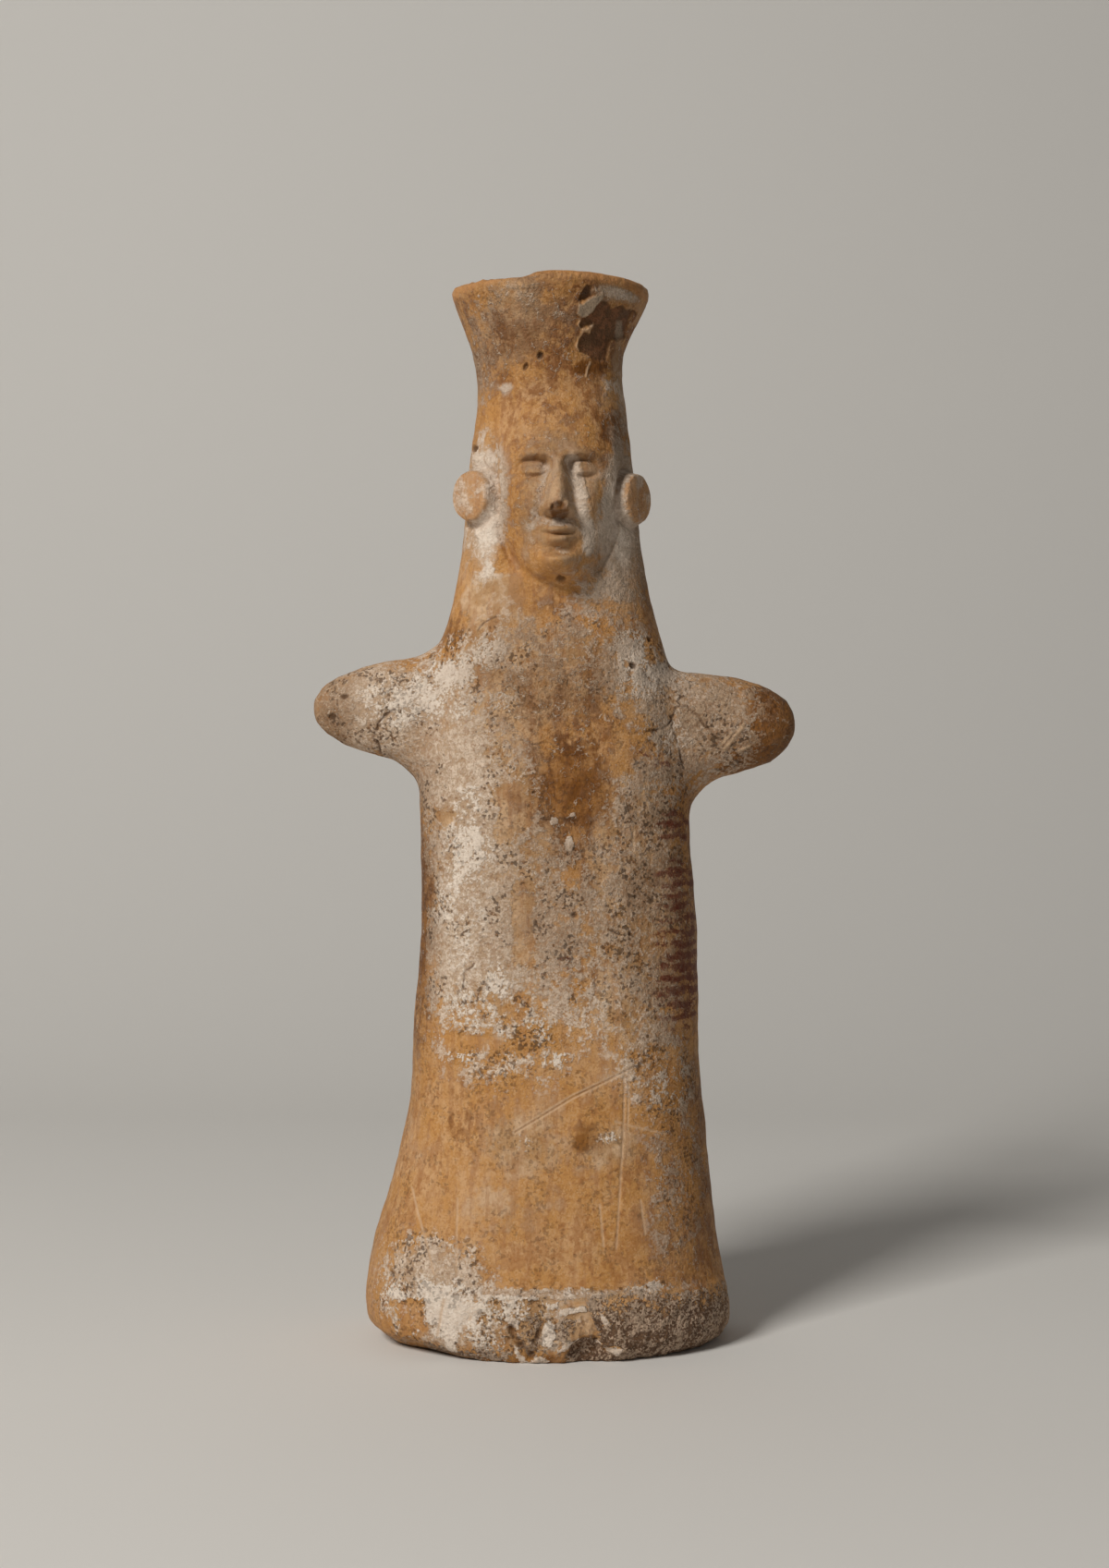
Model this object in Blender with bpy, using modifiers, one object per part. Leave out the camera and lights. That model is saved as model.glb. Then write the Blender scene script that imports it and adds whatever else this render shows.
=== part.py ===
"""Terracotta goddess figurine.

A hand-modelled figure of fired clay: a columnar body that flares to its foot, two stub
arms, a head with a small moulded face and pellet ear discs, and a flaring headdress, the
polos, hollowed on top by the maker's thumb. It is one piece of clay.

Metres, +Z up. The figure faces -Y, so its left arm is at +X. The origin is the middle of
the underside.
"""

import math

import bmesh
import bpy
import numpy as np
from mathutils import Euler, Matrix, Vector, noise

# Driving sizes
HEIGHT = 0.241
POLOS_WALL = 0.0048
HOLLOW_DEPTH = 0.017
DISC_DIAMETER = 0.0111
DISC_THICKNESS = 0.0040
RIM_WEAR = 0.0013
FOOT_BAND_HEIGHT = 0.0155
FOOT_BAND_STEP = 0.0007

# The free form is laid out in parts, 241 to the height, so that one is about a millimetre
PART = HEIGHT / 241

# Working fineness of the clay, the triangles left in the finished solid, and how
# strongly the face keeps its own
CLAY_GRAIN = 0.0008
TURNING_STEPS = 96
FINISHED_TRIANGLES = 9900
FACE_FINENESS = 0.00025

# The column, from under the foot to the lip of the polos. Each row gives, in parts, a
# height, half the width there, half the depth, the shift to +X, the shift to the front,
# and the power of the oval section: 2 is a true oval, more is squarer.
COLUMN = np.array((
    (-6.0, 34.0, 25.0, -0.6, 0.0, 1.9),
    (0.0, 38.2, 28.6, -0.6, 0.0, 1.9),
    (1.8, 40.4, 29.9, -0.6, 0.0, 2.1),
    (5.0, 41.5, 30.5, -0.7, 0.0, 2.2),
    (13.0, 41.0, 29.8, -1.4, 0.0, 2.3),
    (26.0, 38.9, 27.8, -1.0, 0.0, 2.3),
    (38.8, 36.1, 25.7, 0.1, 0.0, 2.3),
    (51.6, 34.0, 24.0, 1.0, 0.0, 2.3),
    (71.0, 32.8, 22.3, 0.9, 0.2, 2.3),
    (90.0, 31.9, 21.0, 1.6, 0.4, 2.3),
    (109.0, 31.3, 20.0, 1.1, 0.6, 2.3),
    (128.0, 30.8, 19.2, 0.3, 0.6, 2.3),
    (146.0, 28.6, 18.2, 0.0, 0.4, 2.3),
    (157.0, 26.1, 16.8, 0.0, 0.2, 2.2),
    (166.7, 23.4, 15.8, 0.0, 0.0, 2.2),
    (176.3, 21.4, 15.4, 0.0, 0.0, 2.2),
    (186.0, 20.1, 15.4, 0.0, 0.0, 2.2),
    (202.0, 18.7, 15.4, -0.2, 0.0, 2.1),
    (214.6, 17.2, 15.1, -0.1, 0.0, 2.0),
    (220.5, 16.8, 15.3, -0.5, 0.0, 2.0),
    (227.4, 18.1, 17.2, -0.9, -0.2, 2.0),
    (234.2, 20.8, 20.2, -0.4, -0.2, 2.0),
    (241.0, 23.3, 22.8, -0.3, -0.2, 2.0),
))

# Arms, in parts: where the middle of each lump lies, its half sizes, its tilt in degrees
# and how blunt it is. Each lump starts inside the chest, and only its outer end stands
# out as the stub, with a smaller lump thumbed in where it joins the shoulder.
RIGHT_ARM = ((-20.0, 0.4, 143.7), (35.4, 9.8, 13.1), (0.0, 0.0, 3.0), 2.1)
LEFT_ARM = ((20.0, 0.4, 139.3), (36.4, 9.8, 13.2), (0.0, -1.8, -3.0), 2.45)
SHOULDERS = (
    ((-24.0, 0.2, 147.6), (9.0, 9.0, 11.5), (0.0, 0.0, 0.0), 2.0),
    ((-25.5, 0.2, 139.2), (12.6, 9.5, 13.2), (0.0, 0.0, 0.0), 2.0),
    ((26.4, 0.2, 136.4), (13.0, 9.5, 15.4), (0.0, 0.0, 0.0), 2.0),
)

# Ear discs: each pellet's middle in parts, and its turn about the vertical in degrees
RIGHT_DISC = ((-17.3, -8.3, 191.8), 45.0)
LEFT_DISC = ((18.1, -6.6, 191.4), -31.0)

# The face: its middle line, hairline and chin in parts. Brow, nose and chin divide it
# into three equal heights, it is five eyes wide, and the mouth lies a third of the way
# from the nose to the chin.
FACE_MIDDLE = 1.4
HAIRLINE = 213.0
CHIN = 173.0
FACE_WIDTH = 26.0
FACE_THIRD = (HAIRLINE - CHIN) / 3
BROW_LINE = HAIRLINE - FACE_THIRD
NOSE_BASE = BROW_LINE - FACE_THIRD
MOUTH_LINE = NOSE_BASE - FACE_THIRD / 3
EYE = FACE_WIDTH / 5
EYE_LINE = BROW_LINE - EYE / 2

# The plain mask under the features, in parts: the height above the chin, how far forward
# its middle stands, and half its width there
MASK = np.array((
    (-3.0, 15.2, 4.5),
    (0.0, 17.6, 6.6),
    (3.0, 19.0, 8.6),
    (8.0, 18.9, 10.8),
    (14.0, 18.9, 12.3),
    (22.0, 18.5, 13.2),
    (29.0, 17.7, 13.4),
    (36.0, 16.4, 12.8),
    (43.0, 15.0, 11.0),
))

# Presses of thumb and tool, in parts: where, how far they reach, and how far the clay
# moves along x, y and z
PRESSES = (
    # The front of the neck, under the jaw
    ((FACE_MIDDLE, -15.5, CHIN - 4.5), (13.0, 12.0, 15.0), (0.0, 1.9, 0.0)),
    # The lower corner of the foot on the figure's right, worn up
    ((-42.0, -6.0, 0.0), (12.0, 22.0, 4.5), (2.0, 0.5, 1.6)),
    ((-28.0, -19.0, -0.5), (15.0, 12.0, 5.0), (0.8, 1.4, 1.6)),
    # Two flakes broken from the front of the foot
    ((7.2, -30.5, 2.6), (5.6, 5.5, 5.0), (0.0, 2.6, 0.0)),
    ((-4.6, -30.5, 4.6), (3.2, 5.0, 5.0), (0.0, 1.3, 0.0)),
)


def smooth_curve(at, stations, values):
    """The values at the given places, on a smooth curve through the stations."""
    slopes = np.gradient(values, stations)
    at = np.clip(at, stations[0], stations[-1])
    low = np.clip(np.searchsorted(stations, at, side="right") - 1, 0, len(stations) - 2)
    run = stations[low + 1] - stations[low]
    share = (at - stations[low]) / run
    return (
        (2 * share**3 - 3 * share**2 + 1) * values[low]
        + (share**3 - 2 * share**2 + share) * run * slopes[low]
        + (3 * share**2 - 2 * share**3) * values[low + 1]
        + (share**3 - share**2) * run * slopes[low + 1]
    )


def column_at(height, column):
    """One column of the table, in parts, at heights in metres."""
    return smooth_curve(np.asarray(height) / PART, COLUMN[:, 0], COLUMN[:, column])


def hump(distance):
    """1 in the middle of a press, falling smoothly to 0 at a distance of 1."""
    return np.clip(1 - distance**2, 0, 1) ** 2


def step(value, start, end):
    """0 before start, 1 after end, and a smooth rise between them."""
    share = np.clip((value - start) / (end - start), 0, 1)
    return share * share * (3 - 2 * share)


def places(mesh):
    """The vertex places of a mesh, as rows of x, y and z."""
    flat = np.empty(len(mesh.vertices) * 3)
    mesh.vertices.foreach_get("co", flat)
    return flat.reshape(-1, 3)


def finished_mesh(thing):
    """A new mesh with the object's modifiers applied."""
    graph = bpy.context.evaluated_depsgraph_get()
    return bpy.data.meshes.new_from_object(thing.evaluated_get(graph))


def column_profile():
    """The turned outline: up the thumbed hollow, over the lip and down the outer side."""
    lip = POLOS_WALL / 2
    lip_height = HEIGHT - lip
    lip_radius = float(column_at(HEIGHT, 1)) * PART - lip
    mouth = lip_radius - lip
    floor = HEIGHT - HOLLOW_DEPTH
    rings, sides = 12, 110
    outline = []
    for i in range(rings + 1):
        share = i / rings
        outline.append((mouth * share, floor + (lip_height - floor) * share**2.6))
    for i in range(1, rings):
        turn = math.pi * (1 - i / rings)
        outline.append((lip_radius + lip * math.cos(turn), lip_height + lip * math.sin(turn)))
    heights = np.linspace(lip_height, COLUMN[0, 0] * PART, sides)
    outline += list(zip(column_at(heights, 1) * PART, heights))
    outline.append((0.0, COLUMN[0, 0] * PART))
    return outline


def turned_column():
    """The column turned round, then pressed into its oval section."""
    outline = column_profile()
    mesh = bpy.data.meshes.new("column outline")
    edges = [(i, i + 1) for i in range(len(outline) - 1)]
    mesh.from_pydata([(radius, 0.0, height) for radius, height in outline], edges, [])
    turning = bpy.data.objects.new("column outline", mesh)
    bpy.context.scene.collection.objects.link(turning)
    screw = turning.modifiers.new("turn", "SCREW")
    screw.steps = screw.render_steps = TURNING_STEPS
    screw.use_merge_vertices = True
    screw.merge_threshold = 0.00001
    column = finished_mesh(turning)
    bpy.data.objects.remove(turning)
    points = places(column)
    across, depth, heights = points.T
    width_half, depth_half, to_side, to_front, power = (
        column_at(heights, value) for value in range(1, 6)
    )
    turn = np.arctan2(depth, across)
    squared = np.abs(np.cos(turn)) ** power + np.abs(np.sin(turn)) ** power
    radius = np.hypot(across, depth) * squared ** (-1 / power)
    points[:, 0] = radius * np.cos(turn) + to_side * PART
    points[:, 1] = radius * np.sin(turn) * depth_half / width_half - to_front * PART
    column.vertices.foreach_set("co", points.ravel())
    return column


def placed(centre, half_sizes, tilt):
    """The matrix that puts a unit lump at a place in parts, turned by tilt in degrees."""
    turned = Euler([math.radians(angle) for angle in tilt]).to_matrix().to_4x4()
    sized = Matrix.Diagonal((*(size * PART for size in half_sizes), 1.0))
    return Matrix.Translation(Vector(centre) * PART) @ turned @ sized


def press_on_lump(clay, centre, half_sizes, tilt, blunt):
    """A rounded lump along x: blunt is 2 for an ellipsoid, and more for fuller ends."""
    made = bmesh.ops.create_uvsphere(clay, u_segments=40, v_segments=24, radius=1.0)
    for vertex in made["verts"]:
        along = min(abs(vertex.co.x), 1.0)
        ring = math.hypot(vertex.co.y, vertex.co.z)
        if ring > 0:
            fuller = (1 - along**blunt) ** (1 / blunt) / ring
            vertex.co.y *= fuller
            vertex.co.z *= fuller
    bmesh.ops.transform(clay, matrix=placed(centre, half_sizes, tilt), verts=made["verts"])


def press_on_disc(clay, centre, turn):
    """A flat round pellet standing on edge, its axis turned about the vertical."""
    radius = DISC_DIAMETER / 2
    lying = Matrix.Rotation(math.radians(90), 4, "Y")
    turned = Matrix.Rotation(math.radians(turn), 4, "Z")
    bmesh.ops.create_cone(
        clay,
        cap_ends=True,
        segments=40,
        radius1=radius,
        radius2=radius,
        depth=DISC_THICKNESS,
        matrix=Matrix.Translation(Vector(centre) * PART) @ turned @ lying,
    )


def raw_clay():
    """The column with every lump pressed on, as overlapping closed shells."""
    clay = bmesh.new()
    clay.from_mesh(turned_column())
    for lump in (RIGHT_ARM, LEFT_ARM, *SHOULDERS):
        press_on_lump(clay, *lump)
    for centre, turn in (RIGHT_DISC, LEFT_DISC):
        press_on_disc(clay, centre, turn)
    mesh = bpy.data.meshes.new("raw clay")
    clay.to_mesh(mesh)
    clay.free()
    return mesh


def spot(across, up, middle, reach):
    """A rounded rise of 1 at the middle, reaching out by reach, in parts of the face."""
    return hump(np.hypot((across - middle[0]) / reach[0], (up - middle[1]) / reach[1]))


def face_front(across, height):
    """How far forward the face stands, in parts, over its width and height."""
    up = height - CHIN
    middle = smooth_curve(up, MASK[:, 0], MASK[:, 1])
    half = smooth_curve(up, MASK[:, 0], MASK[:, 2])
    side = np.abs(across)
    front = middle - 4.4 * np.clip(side / half, 0, 1.3) ** 2.5
    eye, brow = EYE_LINE - CHIN, BROW_LINE - CHIN
    nose, mouth = NOSE_BASE - CHIN, MOUTH_LINE - CHIN
    # Brow ridges, arched out from the root of the nose
    arch = brow + 0.6 - 0.045 * (side - 4.8) ** 2
    front += 0.6 * hump((up - arch) / 2.8) * hump((side - 5.0) / 6.0)
    # Sockets, then eyeballs under heavy lids
    front -= 1.6 * spot(side, up, (EYE, eye), (4.8, 3.6))
    front += 1.5 * spot(side, up, (EYE * 1.06, eye - 0.3), (3.5, 2.1))
    front -= 0.8 * spot(side, up, (2.5, eye + 0.4), (1.9, 3.0))
    # Cheeks, and the fuller flesh around the mouth
    front += 1.3 * spot(side, up, (7.0, nose + 3.2), (5.2, 6.2))
    front += 0.9 * spot(side, up, (0.0, mouth + 0.6), (6.4, 4.4))
    # The nose: a straight ridge that widens to its tip, cut off square below
    rise = np.clip((brow + 1.0 - up) / (brow + 1.0 - nose), 0, 1)
    ridge = hump(side / (1.9 + 1.3 * rise)) ** 0.8
    rooted = step(up, nose - 0.7, nose + 0.7) * (1 - step(up, brow - 2.5, brow + 3.5))
    front += (1.1 + 4.1 * rise**1.1) * ridge * rooted
    front += 1.9 * spot(side, up, (2.1, nose + 1.4), (1.5, 1.7))
    # Lips parted by a fine line that turns up a little at its ends, and the hollow below
    smile = mouth + 0.035 * side**2
    front += 1.25 * hump((up - smile - 0.95) / 1.3) * hump(side / 4.6)
    front += 1.15 * hump((up - smile + 1.15) / 1.5) * hump(side / 3.9)
    front -= 0.55 * hump((up - smile) / 0.8) * hump(side / 5.0)
    front -= 1.0 * spot(side, up, (0.0, mouth - 3.7), (4.6, 1.7))
    # The chin
    front += 1.1 * spot(side, up, (0.0, 3.4), (6.0, 4.0))
    return front


def model_face(points):
    """Bring the front of the head out to the face wherever the face stands prouder."""
    across = points[:, 0] / PART - FACE_MIDDLE
    height = points[:, 2] / PART
    up = height - CHIN
    half = smooth_curve(up, MASK[:, 0], MASK[:, 2])
    inside = 1 - step(np.abs(across), half - 0.6, half + 1.4)
    inside *= step(up, -1.6, 0.6) * (1 - step(up, 36, 43))
    inside *= points[:, 1] < 0
    proud = np.maximum(-points[:, 1] / PART, face_front(across, height))
    points[:, 1] += inside * (-proud * PART - points[:, 1])


def work_over(mesh):
    """Model the face, press the hollows, lay the foot's band, and wear the rim."""
    points = places(mesh)
    for centre, reach, push in PRESSES:
        away = np.linalg.norm((points / PART - centre) / np.array(reach), axis=1)
        points += hump(away)[:, None] * np.array(push) * PART
    model_face(points)
    outward = points * (1, 1, 0)
    outward /= np.maximum(np.linalg.norm(outward, axis=1), PART)[:, None]
    across, front = points[:, 0] / PART, step(-points[:, 1] / PART, 0, 10)
    band = 1 - step(points[:, 2], FOOT_BAND_HEIGHT - PART, FOOT_BAND_HEIGHT + PART)
    points += outward * (band * front * FOOT_BAND_STEP)[:, None]
    top = step(points[:, 2], HEIGHT - 12 * PART, HEIGHT - POLOS_WALL)
    worn = step(-across, 3.0, 5.4) * (1 - 0.4 * step(-across, 9, 16))
    points[:, 2] -= top * worn * front * RIM_WEAR
    # The unevenness left by the hand
    waver = np.array([
        noise.noise(Vector(point) / (19 * PART)) + noise.noise(Vector(point) / (8 * PART)) / 3
        for point in points
    ])
    points += outward * (0.3 * PART * waver * step(points[:, 2], 0, 20 * PART))[:, None]
    mesh.vertices.foreach_set("co", points.ravel())


def softness(points):
    """How much each place is smoothed with a wet finger: most in the arm joins and on the discs."""
    across, height = np.abs(points[:, 0]) / PART, points[:, 2] / PART
    joins = hump(np.hypot((across - 29) / 15, (height - 143) / 26))
    discs = hump(np.hypot((across - 18) / 9, (height - 191.6) / 10))
    return np.clip(0.12 + joins + 0.35 * discs, 0.0, 1.0)


def plainness(points):
    """How freely each place gives up triangles: least on the face."""
    across = (points[:, 0] / PART - FACE_MIDDLE) / (0.8 * FACE_WIDTH)
    height = (points[:, 2] / PART - NOSE_BASE) / (2.2 * FACE_THIRD)
    face = hump(np.hypot(across, height)) * (points[:, 1] < -8 * PART)
    return np.clip(1 - face, 0.05, 1.0)


def weigh(thing, name, weights):
    """A vertex group with each vertex's weight, in twentieths."""
    group = thing.vertex_groups.new(name=name)
    rounded = np.round(weights * 20)
    for twentieth in range(1, 21):
        chosen = np.flatnonzero(rounded == twentieth)
        group.add(chosen.tolist(), twentieth / 20, "REPLACE")


def remeshed(mesh):
    """The same clay as one skin of even grain."""
    lumps = bpy.data.objects.new("lumps", mesh)
    bpy.context.scene.collection.objects.link(lumps)
    joined = lumps.modifiers.new("join", "REMESH")
    joined.mode = "VOXEL"
    joined.voxel_size = CLAY_GRAIN
    skin = finished_mesh(lumps)
    bpy.data.objects.remove(lumps)
    return skin


def cut_underside(mesh):
    """Trim everything below the ground and close the cut with one flat face."""
    clay = bmesh.new()
    clay.from_mesh(mesh)
    bmesh.ops.bisect_plane(
        clay,
        geom=clay.verts[:] + clay.edges[:] + clay.faces[:],
        dist=0.3 * PART,
        plane_co=(0.0, 0.0, 0.0),
        plane_no=(0.0, 0.0, -1.0),
        use_snap_center=True,
        clear_outer=True,
    )
    rim = [edge for edge in clay.edges if edge.is_boundary]
    bmesh.ops.holes_fill(clay, edges=rim, sides=0)
    bmesh.ops.triangulate(clay, faces=clay.faces)
    bmesh.ops.recalc_face_normals(clay, faces=clay.faces)
    clay.to_mesh(mesh)
    clay.free()


def figurine_mesh():
    """The joined, worked and smoothed clay, thinned to its finished triangles."""
    joined = remeshed(raw_clay())
    work_over(joined)
    worked = remeshed(joined)
    figure = bpy.data.objects.new("worked clay", worked)
    bpy.context.scene.collection.objects.link(figure)
    weigh(figure, "softness", softness(places(worked)))
    weigh(figure, "plainness", plainness(places(worked)))
    for name, rounds, vertices in (("settle", 2, ""), ("wet finger", 40, "softness")):
        smooth = figure.modifiers.new(name, "SMOOTH")
        smooth.factor = 0.5
        smooth.iterations = rounds
        smooth.vertex_group = vertices
    thin = figure.modifiers.new("thin", "DECIMATE")
    thin.ratio = FINISHED_TRIANGLES / (2 * len(worked.polygons))
    thin.vertex_group = "plainness"
    thin.vertex_group_factor = FACE_FINENESS
    mesh = finished_mesh(figure)
    bpy.data.objects.remove(figure)
    cut_underside(mesh)
    return mesh


def terracotta():
    """Fired buff-orange clay, matt."""
    material = bpy.data.materials.new("terracotta")
    material.use_nodes = True
    shader = material.node_tree.nodes["Principled BSDF"]
    shader.inputs["Base Color"].default_value = (0.56, 0.32, 0.14, 1.0)
    shader.inputs["Roughness"].default_value = 0.85
    shader.inputs["Metallic"].default_value = 0.0
    return material


def build():
    for thing in list(bpy.data.objects):
        bpy.data.objects.remove(thing)
    collection = bpy.data.collections.new("Terracotta goddess figurine")
    bpy.context.scene.collection.children.link(collection)
    mesh = figurine_mesh()
    mesh.name = "figurine"
    mesh.materials.clear()
    mesh.materials.append(terracotta())
    mesh.shade_smooth()
    mesh.set_sharp_from_angle(angle=math.radians(50))
    collection.objects.link(bpy.data.objects.new("figurine", mesh))


build()
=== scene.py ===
"""The looks of a terracotta goddess figurine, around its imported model.

Metres, +Z up. The figure faces -Y, so its left arm is at +X.
"""

import math

import bpy
import numpy as np
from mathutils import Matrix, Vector, noise


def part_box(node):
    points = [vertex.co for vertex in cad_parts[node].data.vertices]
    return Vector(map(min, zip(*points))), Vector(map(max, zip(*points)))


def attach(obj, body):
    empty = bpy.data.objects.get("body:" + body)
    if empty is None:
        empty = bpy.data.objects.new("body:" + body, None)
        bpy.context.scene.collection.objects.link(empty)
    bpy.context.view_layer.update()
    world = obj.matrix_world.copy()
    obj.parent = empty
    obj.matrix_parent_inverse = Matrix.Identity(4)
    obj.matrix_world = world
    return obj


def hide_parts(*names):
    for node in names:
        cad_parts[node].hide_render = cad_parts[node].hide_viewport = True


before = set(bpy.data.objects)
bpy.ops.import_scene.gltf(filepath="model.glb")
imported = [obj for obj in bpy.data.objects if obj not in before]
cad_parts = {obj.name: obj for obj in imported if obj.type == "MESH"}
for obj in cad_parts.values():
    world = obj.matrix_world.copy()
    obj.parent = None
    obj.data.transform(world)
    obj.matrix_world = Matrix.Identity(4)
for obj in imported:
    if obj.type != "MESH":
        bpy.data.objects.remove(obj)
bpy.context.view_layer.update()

# The figure itself: one piece of buff-orange clay, modelled solid by hand and fired. Its
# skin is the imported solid's, given an even grain fine enough to carry tool marks, and
# smoothed as by a wet hand, least where the maker left an edge.
MM = 0.001
SKIN_GRAIN = 1.29 * MM
HAND_SMOOTHING = 16


def hump(distance):
    """1 in the middle, falling smoothly to 0 at a distance of 1."""
    return np.clip(1 - distance**2, 0, 1) ** 2


def rise(value, start, end):
    """0 before start, 1 after end, and a smooth rise between them."""
    share = np.clip((value - start) / (end - start), 0, 1)
    return share * share * (3 - 2 * share)


def skin_places():
    """Every vertex of the skin, in millimetres."""
    flat = np.empty(len(clay.data.vertices) * 3)
    clay.data.vertices.foreach_get("co", flat)
    return flat.reshape(-1, 3) / MM


def skin_normals():
    """The outward direction at every vertex of the skin."""
    flat = np.empty(len(clay.data.vertices) * 3)
    clay.data.vertex_normals.foreach_get("vector", flat)
    return flat.reshape(-1, 3)


def reshape_skin(points):
    """Move the skin's vertices to new places in millimetres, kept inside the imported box."""
    low, high = (np.array(corner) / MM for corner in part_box("figurine"))
    inside = np.clip(points, low, high)
    clay.data.vertices.foreach_set("co", (inside * MM).ravel())
    clay.data.update()


def smooth_skin(rounds, weights):
    """Smooth the skin by hand, most where the weights are 1."""
    group = clay.vertex_groups.new(name="softness")
    rounded = np.round(weights * 20)
    for twentieth in range(1, 21):
        group.add(np.flatnonzero(rounded == twentieth).tolist(), twentieth / 20, "REPLACE")
    smooth = clay.modifiers.new("softness", "SMOOTH")
    smooth.factor = 0.5
    smooth.iterations = rounds
    smooth.vertex_group = "softness"
    bpy.ops.object.modifier_apply(modifier="softness")
    clay.vertex_groups.clear()


def refine_skin(chosen, cuts):
    """Divide the skin more finely where a face's middle is in the chosen part."""
    bpy.ops.object.mode_set(mode="EDIT")
    bpy.ops.mesh.select_mode(type="FACE")
    bpy.ops.mesh.select_all(action="DESELECT")
    bpy.ops.object.mode_set(mode="OBJECT")
    middles = np.empty(len(clay.data.polygons) * 3)
    clay.data.polygons.foreach_get("center", middles)
    clay.data.polygons.foreach_set("select", chosen(*(middles.reshape(-1, 3) / MM).T))
    bpy.ops.object.mode_set(mode="EDIT")
    bpy.ops.mesh.subdivide(number_cuts=cuts)
    bpy.ops.object.mode_set(mode="OBJECT")


clay = bpy.data.objects.new("clay_figure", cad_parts["figurine"].data.copy())
bpy.context.scene.collection.objects.link(clay)
bpy.ops.object.select_all(action="DESELECT")
clay.select_set(True)
bpy.context.view_layer.objects.active = clay
bpy.ops.object.mode_set(mode="EDIT")
bpy.ops.mesh.select_all(action="SELECT")
bpy.ops.mesh.remove_doubles(threshold=0.01 * MM)
bpy.ops.object.mode_set(mode="OBJECT")
skin = clay.modifiers.new("skin", "REMESH")
skin.mode = "VOXEL"
skin.voxel_size = SKIN_GRAIN
bpy.ops.object.modifier_apply(modifier="skin")

x, y, z = skin_places().T
kept_edges = np.maximum.reduce([
    rise(z, 229, 237),
    0.8 * hump(np.hypot((np.abs(x) - 18) / 9, (z - 191.6) / 10)),
    0.7 * rise(np.abs(x), 45, 54),
    0.6 * (1 - rise(z, 1.5, 8)),
])
smooth_skin(HAND_SMOOTHING, 1 - kept_edges)

# The face: a small mask pressed on the front of the head and worn soft. Brow, nose and
# chin divide it into three equal heights, it is five eyes wide, and the mouth lies a
# third of the way from the nose to the chin.
FACE_MIDDLE = 1.4
HAIRLINE = 213.0
CHIN = 173.0
FACE_WIDTH = 26.0
FACE_THIRD = (HAIRLINE - CHIN) / 3
BROW_LINE = HAIRLINE - FACE_THIRD
NOSE_BASE = BROW_LINE - FACE_THIRD
MOUTH_LINE = NOSE_BASE - FACE_THIRD / 3
EYE = FACE_WIDTH / 5
EYE_LINE = BROW_LINE - EYE / 2

# The plain mask under the features, from under the chin to the hairline: its height above
# the chin, how far forward its middle stands, and half its width
MASK_UP = (-3.0, 0.0, 3.0, 8.0, 14.0, 22.0, 29.0, 36.0, 43.0)
MASK_FRONT = (15.2, 19.4, 21.0, 20.6, 20.2, 19.5, 18.5, 16.9, 15.0)
MASK_HALF = (4.5, 6.6, 8.6, 10.8, 12.3, 13.2, 13.4, 12.8, 11.0)
MASK_GROOVE = 1.3
MASK_FALL = 6.0

# How far each feature stands out from the mask, or is sunk into it
BROW_RIDGE = 1.3
SOCKET = 2.7
EYEBALL = 2.5
UPPER_LID = 0.55
UPPER_CREASE = 0.80
LOWER_LID = 0.30
LOWER_CREASE = 0.60
EYE_CORNER = 1.1
CHEEK = 1.9
MUZZLE = 1.4
NOSE_ROOT = 1.7
NOSE_RISE = 4.6
NOSTRIL_WING = 2.4
NOSTRIL_CREASE = 0.5
NOSE_BREAK = 1.3
LIP = 1.8
LIP_PARTING = 1.0
LIP_DIMPLE = 0.3
CHIN_HOLLOW = 1.6
CHIN_BALL = 2.4


def smooth_curve(at, stations, values):
    """The values at the given places, on a smooth curve through the stations."""
    stations, values = np.array(stations), np.array(values)
    slopes = np.gradient(values, stations)
    at = np.clip(at, stations[0], stations[-1])
    low = np.clip(np.searchsorted(stations, at, side="right") - 1, 0, len(stations) - 2)
    run = stations[low + 1] - stations[low]
    share = (at - stations[low]) / run
    return (
        (2 * share**3 - 3 * share**2 + 1) * values[low]
        + (share**3 - 2 * share**2 + share) * run * slopes[low]
        + (3 * share**2 - 2 * share**3) * values[low + 1]
        + (share**3 - share**2) * run * slopes[low + 1]
    )


def spot(across, up, middle, reach):
    """A rounded rise of 1 at the middle, reaching out by reach."""
    return hump(np.hypot((across - middle[0]) / reach[0], (up - middle[1]) / reach[1]))


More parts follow.
